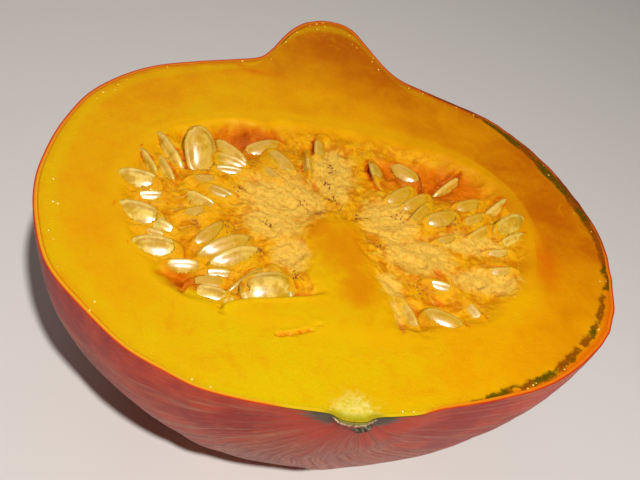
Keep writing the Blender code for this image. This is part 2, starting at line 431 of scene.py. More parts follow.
def bump(shader, height, distance):
    """Sends a height to the shader as a bump, with its full range in metres."""
    made = add_node("Bump", {"Height": height, "Distance": distance, "Strength": 1.0})
    made.id_data.links.new(made.outputs["Normal"], shader.inputs["Normal"])


SCAR_MIDDLE = 3.0
SCAR_FLATTENED = 0.26

skin_material, tree, shader = new_material("red_rind", Roughness=0.45, Sheen_Weight=0.05)
shader.inputs["Specular IOR Level"].default_value = 0.3
shader.inputs["Sheen Roughness"].default_value = 0.4
shader.inputs["Sheen Tint"].default_value = (1.0, 0.8, 0.82, 1.0)
turn, share = attribute(tree, "turn"), attribute(tree, "share")
lengthwise = add_node("CombineXYZ", {"X": turn, "Y": share}).outputs[0]
solid = own_place(tree)
bands = noise_of(scaled(lengthwise, (22.0, 4.5, 1.0)), 4.0, 0.62, 0.6)
streaks = noise_of(scaled(lengthwise, (110.0, 9.0, 1.0)), 5.0, 0.65, 0.7)
hairlines = noise_of(scaled(lengthwise, (300.0, 40.0, 1.0)), 4.0, 0.65, 1.6)
clouds = speckle(tree, 45.0, 5.0, 0.62)
red_skin = blend(fade(clouds, 0.38, 0.62), (170, 28, 12), (214, 66, 24))
# Towards the bottom of the fruit the bloom and its pale lines are stronger: partly the skin's own bloom
# and lines, partly a painted sheen such as grazing light gives.
below = calc("ABSOLUTE", calc("SUBTRACT", turn, 0.5))
bloom_sum = total(
    product(bands, 0.6),
    product(streaks, 0.3),
    product(clouds, 0.1),
    fade(below, 0.34, 0.14, 0.0, 0.10),
)
on_left_edge = product(fade(turn, 0.86, 0.97), fade(share, 0.24, 0.34))
bloom = product(
    fade(bloom_sum, 0.475, 0.565, 0.05, 0.85),
    calc("SUBTRACT", 1.0, product(on_left_edge, 0.9)),
)
dusk = blend(fade(streaks, 0.40, 0.60), (158, 54, 32), (198, 110, 76))
hazed = blend(bloom, red_skin, dusk)
freckles = speckle(tree, 420.0, 3.0, 0.6)
# Pale lines of the skin, made stronger towards the bottom as painted sheen.
pale_lines_and_painted_sheen = product(
    fade(hairlines, 0.53, 0.64, 0.0, 0.7),
    fade(below, 0.46, 0.28, 0.1, 1.0),
    total(bloom, 0.1),
    fade(freckles, 0.42, 0.56, 0.2, 1.3),
)
lined = blend(pale_lines_and_painted_sheen, hazed, (212, 168, 152))
skin_tone = blend(fade(hairlines, 0.46, 0.36, 0.0, 0.4), lined, (120, 30, 24))

# Round the blossom scar the skin glows orange-red in rays. Beside the scar's corky ring it is
# dark grey-green, and inside the ring it is the yellow-green of the plug.
scar = attribute(tree, "scar")
rays = noise_of(scaled(lengthwise, (60.0, 2.0, 1.0)), 4.0, 0.6)
to_scar = vector_sum(solid, -place(SCAR_MIDDLE, 1, 0))
glow = product(
    fade(frayed_by(length_of(to_scar), rays, -0.02), 0.032, 0.012),
    fade(rays, 0.36, 0.56, 0.3, 1.0),
    0.85,
)
skin_tone = blend(glow, skin_tone, (220, 58, 14))
squat = scaled(to_scar, (1.0, 1.0, 2.4))
aside = calc("ABSOLUTE", add_node("SeparateXYZ", {0: to_scar}).outputs["X"])
beside_scar = product(
    fade(frayed_by(length_of(squat), rays, -0.02), 0.0175, 0.0125),
    fade(aside, 0.0045, 0.0070),
    0.95,
)
scar_skin = blend(fade(rays, 0.36, 0.62), (40, 44, 34), (122, 116, 92))
skin_tone = blend(beside_scar, skin_tone, scar_skin)
inside_ring = blend(fade(scar, 4.0, 6.3), (196, 184, 60), (96, 106, 16))
skin_tone = blend(fade(scar, 6.9, 6.3), skin_tone, inside_ring)
from_outer = attribute(tree, "from_outer")
cut_rind = blend(fade(from_outer, 0.1, 0.8), (176, 36, 8), (214, 96, 4))
place_of = add_node("SeparateXYZ", {0: solid}).outputs
to_yellow = product(
    fade(from_outer, 0.25, 1.0),
    fade(place_of["X"], 0.07, -0.02, 0.2, 1.0),
    fade(place_of["Y"], 0.05, -0.04, 0.3, 1.0),
)
cut_rind = blend(to_yellow, cut_rind, (218, 158, 2))
at_plug = blend(fade(scar, 11.0, 7.0), (212, 172, 4), (170, 148, 14))
at_plug = blend(fade(from_outer, 0.5, 0.2), at_plug, (58, 60, 22))
cut_rind = blend(fade(scar, 26.0, 19.0), cut_rind, at_plug)
dark_rim = product(
    fade(place_of["X"], 0.02, 0.05),
    fade(place_of["Y"], -0.02, 0.01),
    fade(clouds, 0.36, 0.56, 0.4, 0.9),
)
cut_rind = blend(dark_rim, cut_rind, (104, 48, 12))
on_rim = fade(from_outer, 0.0, 0.12)
tree.links.new(blend(on_rim, skin_tone, cut_rind), shader.inputs["Base Color"])
bump(shader, total(product(hairlines, 0.6), streaks), 0.0008)


def from_scar(across, along, height):
    """How far a point of the skin is from the middle of the flattened scar."""
    return min(math.hypot(across - SCAR_MIDDLE, height / SCAR_FLATTENED) + max(along - 6, 0), 60)


skin_bm = new_body("turn", "share", "scar", "from_outer", "from_inner")
skin_edge = add_layer(skin_bm, FRUIT_OUTLINE, 0, FINE_MERIDIANS)
lining_edge = add_layer(skin_bm, FRUIT_OUTLINE, RIND_THICKNESS, HIDDEN_MERIDIANS)
add_rim(skin_bm, skin_edge, lining_edge, 3)
scar_of = skin_bm.verts.layers.float["scar"]
for vert in skin_bm.verts:
    vert[scar_of] = from_scar(*spot_of(vert.co))
skin_tree = BVHTree.FromBMesh(skin_bm)
skin = finished(skin_bm, "skin", "rind", skin_material, "rind")
skin.data.set_sharp_from_angle(angle=math.radians(50))

# The flesh is one thick wall of firm tissue from the skin to the seed cavity, yellow at the
# blossom end and deeper orange towards the neck. The knife left its face flat and moist, with
# green tissue just inside the skin in places and a pale plug behind the scar.
SEAM_DROP = 0.15
SEAM_WIDTH = 6.0
FLESH_RINGS = 44
CAVITY_MERIDIANS = 120
CAVITY_OUTLINE = [
    (28.0, 6.0, 6.0),
    (29.5, -12.0, 24.0),
    (32.5, -32.0, 37.0),
    (38.0, -51.0, 51.0),
    (46.0, -61.0, 62.0),
    (56.0, -68.0, 71.0),
    (68.0, -74.0, 76.0),
    (82.0, -76.5, 78.0),
    (96.0, -74.0, 77.0),
    (108.0, -67.5, 72.0),
    (118.0, -57.0, 62.0),
    (125.0, -41.0, 47.0),
    (129.0, -21.0, 25.0),
    (130.5, 0.0, 0.0),
]

# The pale plug, and places where the cut face is redder: middle across and along, and reach.
PLUG = (3.2, 3.0, 6.2, 5.2)
PLUG_RELIEF = 0.3
BLUSH = [(-28.0, 156.3, 6.0, 1.2), (-35.0, 159.0, 3.0, 0.9), (79.5, 71.0, 5.0, 11.0)]

# Tears that the knife left in the firm tissue, as lines of places across and along.
TEARS = [
    ((-20.0, 27.6), (-16.6, 28.4), (-13.8, 28.8), (-11.2, 29.9), (-8.9, 30.9), (-6.3, 33.2)),
    ((-37.8, 36.8), (-37.5, 34.0)),
]
TEAR_DEPTH = 1.1
TEAR_LIP = 0.3

# Where a green vein runs just inside the skin: distance along the fruit and how far in from
# the skin it reaches, first down the right side and then on the left of the neck.
GREEN_RIGHT = [
    (9.0, 0.0), (13.0, 3.2), (17.0, 3.8), (22.0, 4.4), (27.0, 5.6), (34.0, 6.4), (43.0, 6.2),
    (52.0, 6.2), (58.0, 5.0), (63.0, 2.4), (67.0, 2.2), (72.0, 3.2), (80.0, 3.0), (90.0, 3.7),
    (103.0, 4.2), (114.0, 4.8), (122.0, 6.4), (127.0, 7.0), (131.0, 5.0), (136.0, 5.2),
    (141.0, 5.4), (147.0, 4.0), (151.0, 2.0), (154.0, 0.0),
]
GREEN_LEFT = [(171.0, 0.0), (174.0, 4.2), (181.0, 4.6), (186.0, 3.8), (189.0, 0.0)]


def read_off(points, where):
    """The value at a place in a list of (place, value) points, straight between them."""
    for (start, first), (end, second) in zip(points, points[1:]):
        if start <= where <= end:
            return first + (second - first) * (where - start) / (end - start)
    return 0.0


def patch(spots, across, along):
    """How much of a soft patch there is at a place, from a list of patches."""
    return max(
        math.exp(-(((across - x) / reach_x) ** 2) - ((along - y) / reach_y) ** 2)
        for x, y, reach_x, reach_y in spots
    )


def away_from(stroke_start, stroke_end, across, along):
    """How far a place is from a straight stroke."""
    start, end = Vector(stroke_start), Vector(stroke_end)
    spot, stroke = Vector((across, along)), end - start
    share = min(max((spot - start).dot(stroke) / stroke.length_squared, 0), 1)
    return (spot - start.lerp(end, share)).length


def away_from_line(points, across, along):
    """How far a place is from a line of straight strokes."""
    return min(away_from(start, end, across, along) for start, end in zip(points, points[1:]))


def torn_at(across, along):
    """How torn the firm tissue is at a place, and how far the tear raises it there."""
    torn, lift = 0.0, 0.0
    for tear in TEARS:
        wander = 0.5 * noise.noise(Vector((across, along, 2)) / 2.2)
        beside = away_from_line(tear, across, along) + wander
        ragged = 0.6 + 0.8 * noise.noise(Vector((across, along, 5)) / 1.8)
        lift += TEAR_LIP * ragged * hump(beside - 1.3, 0.8)
        lift -= TEAR_DEPTH * ragged * hump(beside, 0.5)
        torn = max(torn, ragged * hump(beside, 0.8))
    return torn, lift


squash_flesh = bpy.data.node_groups.new("squash_flesh", "ShaderNodeTree")
for name in ("From Skin", "From Cavity", "Green"):
    squash_flesh.interface.new_socket(name, in_out="INPUT", socket_type="NodeSocketFloat")
squash_flesh.interface.new_socket("Color", in_out="OUTPUT", socket_type="NodeSocketColor")
squash_flesh.interface.new_socket("Height", in_out="OUTPUT", socket_type="NodeSocketFloat")
given = squash_flesh.nodes.new("NodeGroupInput").outputs
result = squash_flesh.nodes.new("NodeGroupOutput").inputs
tree = squash_flesh
split = add_node("SeparateXYZ", {0: own_place(tree)}).outputs
mottle = speckle(tree, 70.0, 6.0, 0.6, 0.3)
cloud = speckle(tree, 24.0, 3.0, 0.5)
specks = speckle(tree, 240.0, 4.0, 0.6)
grain = speckle(tree, 900.0, 4.0, 0.6)
warmth = total(
    product(split["X"], 4.6),
    product(split["Y"], 3.0),
    product(cloud, 0.7),
    product(mottle, 0.6),
    fade(split["X"], -0.03, -0.085, 0.0, 0.34),
    fade(split["Y"], 0.055, 0.1, 0.0, 0.28),
    -0.11,
)
tone = blend(fade(warmth, 0.05, 0.7), (212, 175, 2), (220, 149, 2))
tone = blend(fade(warmth, 0.5, 1.2), tone, (180, 92, 2))
blotches = fade(speckle(tree, 130.0, 5.0, 0.65, 0.8), 0.5, 0.68, 0.0, 0.35)
tone = blend(blotches, tone, (212, 138, 4))
from_skin = given["From Skin"]
band = product(
    fade(from_skin, 1.5, 3.5),
    fade(from_skin, 9.0, 5.0),
    fade(split["X"], 0.07, 0.0, 0.1, 1.0),
    0.4,
)
tone = blend(band, tone, (214, 174, 6))
border = fade(given["From Cavity"], 7.0, 1.0, 0.0, 0.35)
tone = blend(border, tone, (220, 164, 8))
edge_reach = product(
    fade(split["Y"], -0.082, -0.05, 0.25, 1.0), fade(split["X"], -0.09, 0.05, 0.8, 3.0)
)
edge_glow = product(
    fade(calc("DIVIDE", from_skin, edge_reach), 1.0, 0.0),
    fade(split["Y"], -0.086, -0.07, 0.0, 0.9),
)
tone = blend(edge_glow, tone, (218, 96, 4))
vein_width = fade(split["Y"], -0.02, 0.01, 4.4, 9.0)
vein_inside = calc("SUBTRACT", vein_width, 1.6)
still_green = calc("SUBTRACT", frayed_by(given["Green"], specks, 5.0), from_skin)
unbroken = fade(split["Y"], -0.03, 0.0)
gaps = speckle(tree, 150.0, 2.0, 0.5)
green = product(
    fade(still_green, -0.3, 1.4),
    fade(still_green, vein_width, vein_inside),
    fade(given["Green"], 0.2, 1.0),
    calc("MAXIMUM", unbroken, fade(gaps, 0.37, 0.45)),
    fade(grain, 0.32, 0.48, 0.55, 0.92),
)
greens = blend(fade(mottle, 0.46, 0.56), (70, 64, 8), (126, 64, 12))
tone = blend(green, tone, greens)
tree.links.new(tone, result["Color"])
tree.links.new(total(grain, mottle), result["Height"])


def flesh_colour(from_skin, from_cavity, green):
    """The look of cut flesh, placed in a material: its colour and its fine relief."""
    sockets = {"From Skin": from_skin, "From Cavity": from_cavity, "Green": green}
    look = add_node("Group", sockets, node_tree=squash_flesh)
    return look.outputs["Color"], look.outputs["Height"]


def moist_tissue(shader, from_seam):
    """Sets a shader as moist tissue that light goes into, but not beside the seam of two pieces."""
    shader.inputs["Specular IOR Level"].default_value = 0.2
    shader.inputs["Specular Tint"].default_value = (1.0, 0.75, 0.25, 1.0)
    shader.inputs["Subsurface Radius"].default_value = (1.0, 0.45, 0.08)
    shader.inputs["Subsurface Scale"].default_value = 0.005
    weight = fade(from_seam, 0.5, 8.0, 0.0, 0.4)
    shader.id_data.links.new(weight, shader.inputs["Subsurface Weight"])


flesh_material, tree, shader = new_material("cut_flesh", Roughness=0.42)
moist_tissue(shader, attribute(tree, "from_inner"))
flesh_tone, flesh_relief = flesh_colour(
    attribute(tree, "from_outer"), attribute(tree, "from_inner"), attribute(tree, "green")
)
curds = speckle(tree, 600.0, 4.0, 0.6, 0.4)
plug_edge = frayed_by(attribute(tree, "plug"), curds, 0.9)
plug_tone = blend(fade(curds, 0.36, 0.64), (208, 186, 58), (224, 202, 104))
flesh_tone = blend(fade(plug_edge, 0.10, 0.70), flesh_tone, plug_tone)
at_scar = product(
    fade(attribute(tree, "plug"), 0.15, 0.5),
    fade(attribute(tree, "from_outer"), 2.4, 0.0, 0.0, 0.9),
)
flesh_tone = blend(at_scar, flesh_tone, (172, 158, 16))
blush = product(attribute(tree, "blush"), fade(curds, 0.3, 0.6, 0.5, 1.0), 0.7)
flesh_tone = blend(blush, flesh_tone, (206, 88, 2))
tree.links.new(flesh_tone, shader.inputs["Base Color"])
bump(shader, flesh_relief, 0.0002)

flesh_bm = new_body("from_outer", "from_inner", "green", "plug", "blush")
flesh_edge = add_layer(flesh_bm, FRUIT_OUTLINE, RIND_THICKNESS, HIDDEN_MERIDIANS)
cavity_edge = add_layer(flesh_bm, CAVITY_OUTLINE, 0, CAVITY_MERIDIANS, swells=False)
green_of = flesh_bm.verts.layers.float["green"]
for vert in flesh_edge:
    across, along, _ = spot_of(vert.co)
    vert[green_of] = read_off(GREEN_RIGHT if across > 0 else GREEN_LEFT, along)
cut_face = add_rim(flesh_bm, flesh_edge, cavity_edge, FLESH_RINGS)
plug_of = flesh_bm.verts.layers.float["plug"]
blush_of = flesh_bm.verts.layers.float["blush"]
from_inner = flesh_bm.verts.layers.float["from_inner"]
for vert in cut_face:
    across, along, _ = spot_of(vert.co)
    vert[plug_of] = patch([PLUG], across, along)
    torn, lift = torn_at(across, along)
    vert[blush_of] = max(patch(BLUSH, across, along), 1.2 * torn)
    waves = 0.12 * noise.noise(vert.co / (14 * MM)) + 0.05 * noise.noise(vert.co / (3 * MM))
    curd = PLUG_RELIEF * vert[plug_of] * (0.5 + noise.noise(vert.co / (1.6 * MM)))
    off_seam = smooth_step(vert[from_inner] / SEAM_WIDTH)
    vert.co.z += (waves * off_seam + curd - SEAM_DROP * (1 - off_seam) + lift) * MM
flesh_tree = BVHTree.FromBMesh(flesh_bm)
flesh = finished(flesh_bm, "flesh_wall", "flesh", flesh_material, "flesh")
flesh.data.set_sharp_from_angle(angle=math.radians(40))

# The seeds are flat and plump with a raised margin, cream to amber, wet and glossy. They grew
# from the pulp, and stand in it in two fans with one edge out.
SEED_LENGTH = 17.0
SEED_WIDTH = 10.5
SEED_THICKNESS = 4.6
SEED_TAPER = 0.22
SEED_FULLNESS = 0.12

# Where the part of each seed that shows lies, across and along, its heading, rise and roll in
# degrees, how much of its length and width shows, how amber it is, and its size, usually 1.
SEEDS = [
    (-58.6, 104.0, -55, -8, 84, 21.0, 3.2, 0.2, 1.3),
    (-47.6, 105.8, 108, 34, 8, 22.0, 14.0, 0.5, 1.22),
    (-65.5, 96.5, -55, -8, 80, 10.0, 2.4, 0.35, 1.0),
    (-59.3, 95.0, -58, -8, 80, 11.0, 2.4, 0.35, 1.0),
    (-36.5, 110.0, -33, -6, 51, 14.0, 4.2, 0.65, 1.1),
    (-36.5, 103.5, -14, -2, 59, 12.0, 3.1, 0.55, 1.0),
    (-37.0, 98.6, 0, 0, 61, 10.0, 2.5, 0.65, 1.0),
    (-45.8, 92.5, 8, 2, 46, 7.0, 2.2, 0.95, 1.0),
    (-25.0, 117.0, 25, 6, 41, 14.0, 5.1, 0.85, 1.15),
    (-17.5, 106.0, -40, -6, 41, 12.0, 4.2, 1.0, 1.0),
    (-21.5, 99.5, -40, 0, 46, 7.0, 2.2, 1.0, 1.0),
    (-4.3, 116.0, 90, 11, 56, 7.0, 2.5, 0.55, 1.0),
    (-8.0, 106.0, 95, 11, 80, 7.0, 2.5, 0.45, 1.0),
    (-68.0, 87.3, -8, 0, 38, 12.0, 5.8, 0.0, 1.0),
    (-63.8, 82.0, 10, 1, 63, 8.0, 2.4, 0.35, 1.0),
    (-46.3, 81.8, -20, -4, 80, 10.0, 2.9, 0.35, 1.0),
    (-40.0, 86.8, -15, -3, 56, 8.0, 2.5, 1.0, 1.0),
    (-65.8, 72.0, -15, 0, 36, 12.0, 6.2, 0.0, 1.05),
    (-48.5, 76.3, 20, 4, 41, 7.0, 2.5, 1.0, 1.0),
    (-59.0, 68.8, -20, -4, 59, 9.0, 3.1, 0.35, 1.0),
    (-60.5, 64.8, -10, -2, 56, 5.0, 2.0, 0.55, 1.0),
    (-43.5, 66.5, 45, 8, 49, 12.0, 3.7, 0.95, 1.15),
    (-38.0, 62.0, 28, 6, 57, 20.0, 4.0, 0.75, 1.25),
    (-34.5, 57.8, 26, 6, 53, 18.0, 4.4, 0.45, 1.2),
    (-59.5, 58.3, 0, 0, 36, 12.0, 6.4, 0.0, 1.1),
    (-50.5, 52.8, 5, 1, 61, 10.0, 3.7, 0.35, 1.0),
    (-39.0, 51.3, 5, 1, 59, 7.0, 2.2, 0.55, 1.0),
    (-42.0, 47.8, 10, 2, 41, 9.0, 3.2, 0.95, 1.0),
    (-30.3, 48.6, 42, 8, 80, 18.0, 2.4, 1.0, 1.2),
    (-23.3, 47.2, 15, 0, 26, 14.0, 7.4, 0.3, 1.1),
    (-17.5, 49.0, -60, -8, 51, 7.0, 2.7, 0.55, 1.0),
    (-41.0, 42.5, -5, 0, 38, 9.0, 4.8, 0.1, 1.0),
    (31.8, 112.5, -30, 0, 44, 12.0, 5.1, 0.95, 1.0),
    (18.2, 108.5, 100, 0, 45, 8.0, 4.0, 0.55, 1.0),
    (50.0, 111.0, 42, 11, 86, 20.0, 2.8, 0.5, 1.25),
    (66.0, 97.8, 42, 11, 86, 17.5, 2.8, 0.3, 1.15),
    (26.3, 97.0, 35, 10, 51, 12.0, 3.9, 0.95, 1.0),
    (32.3, 94.2, 35, 10, 51, 12.0, 3.9, 0.95, 1.0),
    (33.6, 88.6, 50, 11, 53, 10.0, 3.2, 0.95, 1.0),
    (41.3, 87.0, 20, 8, 41, 13.0, 4.6, 1.0, 1.0),
    (54.5, 98.0, 20, 8, 47, 10.0, 3.7, 0.95, 1.0),
    (55.3, 90.0, 25, 9, 59, 8.0, 2.4, 0.85, 1.0),
    (56.2, 83.0, 35, 10, 63, 7.0, 2.2, 0.65, 1.0),
    (69.0, 88.6, 35, 0, 44, 13.0, 5.6, 0.35, 1.05),
    (68.5, 81.6, 30, 10, 63, 9.0, 2.5, 0.35, 1.0),
    (62.2, 74.3, 8, 7, 65, 8.0, 2.0, 0.65, 1.0),
    (61.8, 65.8, 8, 7, 65, 8.0, 2.0, 0.65, 1.0),
    (37.6, 55.8, -10, 2, 61, 7.0, 2.2, 0.55, 1.0),
    (25.4, 41.8, -62, -8, 63, 9.0, 2.4, 0.55, 1.0),
    (37.0, 41.4, -20, 0, 39, 13.0, 4.8, 0.75, 1.0),
    (48.6, 46.3, -50, -6, 59, 6.0, 2.2, 0.65, 1.0),
    (20.6, 34.2, 0, 3, 46, 4.0, 2.0, 0.65, 1.0),
    (42.6, 77.8, 20, 8, 61, 7.0, 1.9, 1.0, 1.0),
]

# The hollows of the pulp that holds them: middle across and along, reach both ways and depth.
PULP_DROP = 1.8
HOLLOWS = [
    (-38.0, 118.0, 22.0, 9.0, 7.0),
    (46.0, 109.0, 26.0, 11.0, 6.0),
    (-50.0, 45.0, 13.0, 8.0, 3.6),
    (-62.0, 74.0, 16.0, 22.0, 1.2),
    (30.0, 42.0, 22.0, 9.0, 1.0),
]


def pulp_level(across, along):
    """The pulp's level against the cut face, without its fibres."""
    level = -PULP_DROP
    for x, y, reach_x, reach_y, depth in HOLLOWS:
        level -= depth * math.exp(-(((across - x) / reach_x) ** 2) - ((along - y) / reach_y) ** 2)
    return level


def seed_place(across, along, heading, rise, roll, shown_width, width):
    """The matrix of a seed of which shown_width stands out of the pulp at a place."""
    tip = math.radians(roll)
    turned = (
        Matrix.Rotation(math.radians(heading), 4, "Z")
        @ Matrix.Rotation(math.radians(-rise), 4, "Y")
        @ Matrix.Rotation(tip, 4, "X")
    )
    to_middle = turned @ Vector((0, (width - shown_width) / 2, 0))
    level = pulp_level(across, along)
    sunk = (width / 2 - shown_width) * math.sin(tip)
    middle = place(across - to_middle.x, along - to_middle.y, level - sunk)
    return Matrix.Translation(middle) @ turned


def seed_profile(edge):
    """Half the seed's thickness, against its greatest, from its middle at 0 to its edge at 1."""
    body = max(1 - (edge / 0.86) ** 2, 0) ** 0.45
    margin = 0.36 * math.sqrt(max(1 - ((edge - 0.84) / 0.16) ** 2, 0))
    return max(body, margin)


def add_seed(bm, stands, amber, size):
    """One seed: the rings of a ball, spread to a seed's outline and pressed to its profile."""
    edge_of = bm.verts.layers.float["edge"]
    amber_of = bm.verts.layers.float["amber"]
    for vert in bmesh.ops.create_uvsphere(bm, u_segments=28, v_segments=20, radius=1)["verts"]:
        ring = 1 - abs(math.asin(min(max(vert.co.z, -1.0), 1.0))) / (math.pi / 2)
        edge = 1 - (1 - ring) ** 1.6
        flat = Vector((vert.co.x, vert.co.y))
        outward = flat.normalized() * edge if flat.length > 1e-6 else flat
        squareness = (2 * flat.x * flat.y / max(flat.length_squared, 1e-9)) ** 2
        outward = outward * (1 + SEED_FULLNESS * squareness)
        narrowing = 1 - SEED_TAPER * max(outward.x, 0) ** 2
        side = math.copysign(1, vert.co.z) if abs(vert.co.z) > 1e-6 else 0
        shaped = Vector(
            (
                outward.x * SEED_LENGTH / 2,
                outward.y * SEED_WIDTH / 2 * narrowing,
                side * seed_profile(edge) * SEED_THICKNESS / 2,
            )
        )
        vert.co = stands @ (shaped * size * MM)
        vert[edge_of] = edge
        vert[amber_of] = amber


seed_material, tree, shader = new_material(
    "seed_coat",
    Roughness=0.30,
    Coat_Weight=1.0,
    Coat_Roughness=0.24,
    Coat_IOR=1.75,
    Subsurface_Weight=0.3,
    Subsurface_Scale=0.003,
    Specular_IOR_Level=0.2,
)
edge, amber = attribute(tree, "edge"), attribute(tree, "amber")
stain = speckle(tree, 300.0, 5.0, 0.6)
coat = blend(fade(stain, 0.38, 0.64), (196, 150, 26), (234, 196, 88))
coat = blend(fade(edge, 0.78, 0.9, 0.0, 0.25), coat, (238, 208, 116))
groove = product(fade(edge, 0.64, 0.74), fade(edge, 0.84, 0.76), 0.35)
coat = blend(groove, coat, (180, 118, 12))
stained = fade(frayed_by(amber, stain), 0.2, 1.0, 0.0, 0.8)
coat = blend(stained, coat, (196, 144, 1))
tree.links.new(coat, shader.inputs["Base Color"])
bump(shader, stain, 0.0006)

seed_sizes = random.Random(7)
seeds_bm = new_body("edge", "amber")
seed_frames = []
for across, along, heading, rise, roll, _, shown_width, amber, size in SEEDS:
    stands = seed_place(across, along, heading, rise, roll, shown_width, SEED_WIDTH * size)
    seed_frames.append(stands.inverted())
    add_seed(seeds_bm, stands, amber, size * seed_sizes.uniform(0.96, 1.04))
faces_a_seed = len(seeds_bm.faces) // len(SEEDS)
seed_tree = BVHTree.FromBMesh(seeds_bm)
finished(seeds_bm, "seeds", "seeds", seed_material)

# The pulp is the loose fibrous tissue of the cavity. Firm where the knife went through it, it
# is torn elsewhere into clumps and strands that fan out from the head of a smooth tongue,
# peach at the middle and deep orange in the hollows, with painted shade in its crevices, round
# the seeds and behind the flap's lip. It lies like a film over the seeds.
FIBRE_HUB = (0.0, 78.0)
FIBRE_FULL_AT = 35.0
PULP_RINGS = 150
RINGS_MEET = (1.0, 80.0)
DEEP_INSIDE = 30.0
INNERMOST_RING = 0.3
FILM = 0.3
BELOW_A_BARE_SEED = 0.9
ROUND_A_SEED = 1.5

# Strokes of firm tissue: both ends, half the width, and how softly it ends. Then the lip of the
# flap that hangs over the near edge of the cavity, as a line that its tissue reaches round.
FIRM_STROKES = [
    ((1.0, 71.0), (2.0, 58.0), 6.5, 8.0),
    ((2.0, 58.0), (6.0, 42.0), 6.5, 11.0),
    ((6.0, 42.0), (8.0, 28.0), 9.0, 10.0),
    ((-32.0, 33.0), (-4.0, 35.0), 4.5, 1.5),
]
FLAP = ((-32.5, 34.2), (-28.0, 35.6), (-18.0, 37.2), (-9.0, 39.0), (-4.0, 40.4))
FLAP_REACH = 5.2
LIP_RISE = 0.5
LIP_GAP = 1.3

# Patches of pale peach tissue, of a deeper orange in the tongue, and of deep orange: middle
# across and along, and reach both ways.
PEACH = [
    (-17.0, 88.0, 17.0, 15.0),
    (-21.0, 76.0, 12.0, 9.0),
    (-14.0, 62.0, 8.0, 8.0),
    (2.0, 104.0, 9.0, 16.0),
    (22.0, 84.0, 12.0, 12.0),
    (31.0, 68.0, 14.0, 10.0),
    (19.0, 47.0, 6.0, 12.0),
    (56.0, 60.0, 15.0, 6.0),
    (52.0, 77.0, 14.0, 6.0),
    (-24.0, 49.0, 6.0, 5.0),
]
TONGUE_TINT = [
    (3.0, 66.0, 12.0, 14.0),
    (8.0, 50.0, 8.0, 12.0),
    (-6.0, 74.0, 7.0, 7.0),
    (-20.0, 27.0, 6.0, 2.2),
]
DEEP = [
    (37.5, 60.5, 3.0, 3.0),
    (-53.0, 46.0, 7.0, 5.0),
    (-30.0, 121.0, 9.0, 3.0),
    (24.0, 112.0, 8.0, 7.0),
]


def firmness(across, along):
    """1 where the knife went through firm tissue, 0 in the loose pulp."""
    wander = 2.0 * noise.noise(Vector((across, along, 0)) / 5)
    wander += noise.noise(Vector((across, along, 4)) / 1.6)
    firm = 0.0
    for start, end, half_width, soft in FIRM_STROKES:
        outside = away_from(start, end, across, along) - half_width + wander * min(soft / 4, 1)
        firm = max(firm, 1 - smooth_step(outside / soft))
    past_lip = away_from_line(FLAP, across, along) - FLAP_REACH + 0.15 * wander
    return max(firm, 1 - smooth_step(past_lip / 0.7 + 0.5))


def clumps_at(across, along):
    """The height of the loose tissue: lumps, fanned strands and crumbs."""
    spoke = Vector((across - FIBRE_HUB[0], along - FIBRE_HUB[1]))
    angle = math.atan2(spoke.y, spoke.x)
    spread = smooth_step(spoke.length / FIBRE_FULL_AT)
    where = Vector((across, along, 0))
    height = noise.noise(where / 8) + 0.75 * noise.noise(where / 3.6) + 0.35 * noise.noise(where / 1.7)
    strands = noise.noise(Vector((angle * 8 + 0.8 * height, spoke.length / 12, 3)))
    threads = noise.noise(Vector((angle * 24 + 2 * height, spoke.length / 7, 8)))
    return height + spread * (0.7 * strands + 0.22 * threads)


pulp_material, tree, shader = new_material("fibrous_pulp")
moist_tissue(shader, attribute(tree, "from_outer"))
from_hub = vector_sum(own_place(tree), -place(*FIBRE_HUB, 0))
spoke = add_node("SeparateXYZ", {0: from_hub}).outputs
angle = calc("ARCTAN2", spoke["Y"], spoke["X"])
distance = length_of(from_hub)
fan = add_node("CombineXYZ", {"X": angle, "Y": distance}).outputs[0]
strands = noise_of(scaled(fan, (16.0, 110.0, 1.0)), 5.0, 0.62, 1.4)
clumps = speckle(tree, 200.0, 6.0, 0.62, 0.5)
crumbs = speckle(tree, 900.0, 4.0, 0.65)
tissue = blend(fade(clumps, 0.38, 0.58), (200, 120, 6), (226, 160, 14))
strand_light = product(fade(strands, 0.48, 0.66, 0.0, 0.4), fade(distance, 0.004, 0.02))
tissue = blend(strand_light, tissue, (234, 180, 44))
tissue = blend(fade(crumbs, 0.44, 0.34, 0.0, 0.35), tissue, (190, 102, 6))
peach = frayed_by(attribute(tree, "peach"), clumps)
peach_tone = blend(fade(crumbs, 0.34, 0.52), (214, 152, 46), (230, 184, 78))
tissue = blend(fade(peach, 0.25, 0.7, 0.0, 0.9), tissue, peach_tone)
veil = frayed_by(attribute(tree, "film"), clumps)
tissue = blend(fade(veil, 0.4, 0.9, 0.0, 0.55), tissue, (224, 158, 24))
firm_tone, _ = flesh_colour(DEEP_INSIDE, attribute(tree, "from_outer"), 0.0)
tint = frayed_by(attribute(tree, "tint"), clumps)
firm_tone = blend(fade(tint, 0.1, 1.0, 0.0, 0.85), firm_tone, (204, 124, 4))
firm = calc(
    "MAXIMUM",
    fade(frayed_by(attribute(tree, "firm"), clumps, 0.9), 0.3, 0.8),
    fade(frayed_by(attribute(tree, "from_outer"), clumps, 12.0), 9.0, 2.0),
)
tissue = blend(firm, tissue, firm_tone)
# The deep attribute is partly the deep orange of the hollows and tears, partly painted shade in the
# crevices, round the seeds and in the gap behind the flap's lip.
deep = frayed_by(attribute(tree, "deep"), clumps, 0.8)
tissue = blend(fade(deep, 0.15, 0.75, 0.0, 0.85), tissue, (208, 102, 4))
tissue = blend(fade(deep, 0.65, 1.3, 0.0, 0.75), tissue, (164, 62, 4))
tree.links.new(tissue, shader.inputs["Base Color"])
tree.links.new(fade(firm, 0.0, 1.0, 0.30, 0.42), shader.inputs["Roughness"])
loose = total(product(strands, 0.7), clumps, crumbs)
bump(shader, product(loose, fade(firm, 1.0, 0.0, 0.25, 1.0)), 0.0004)

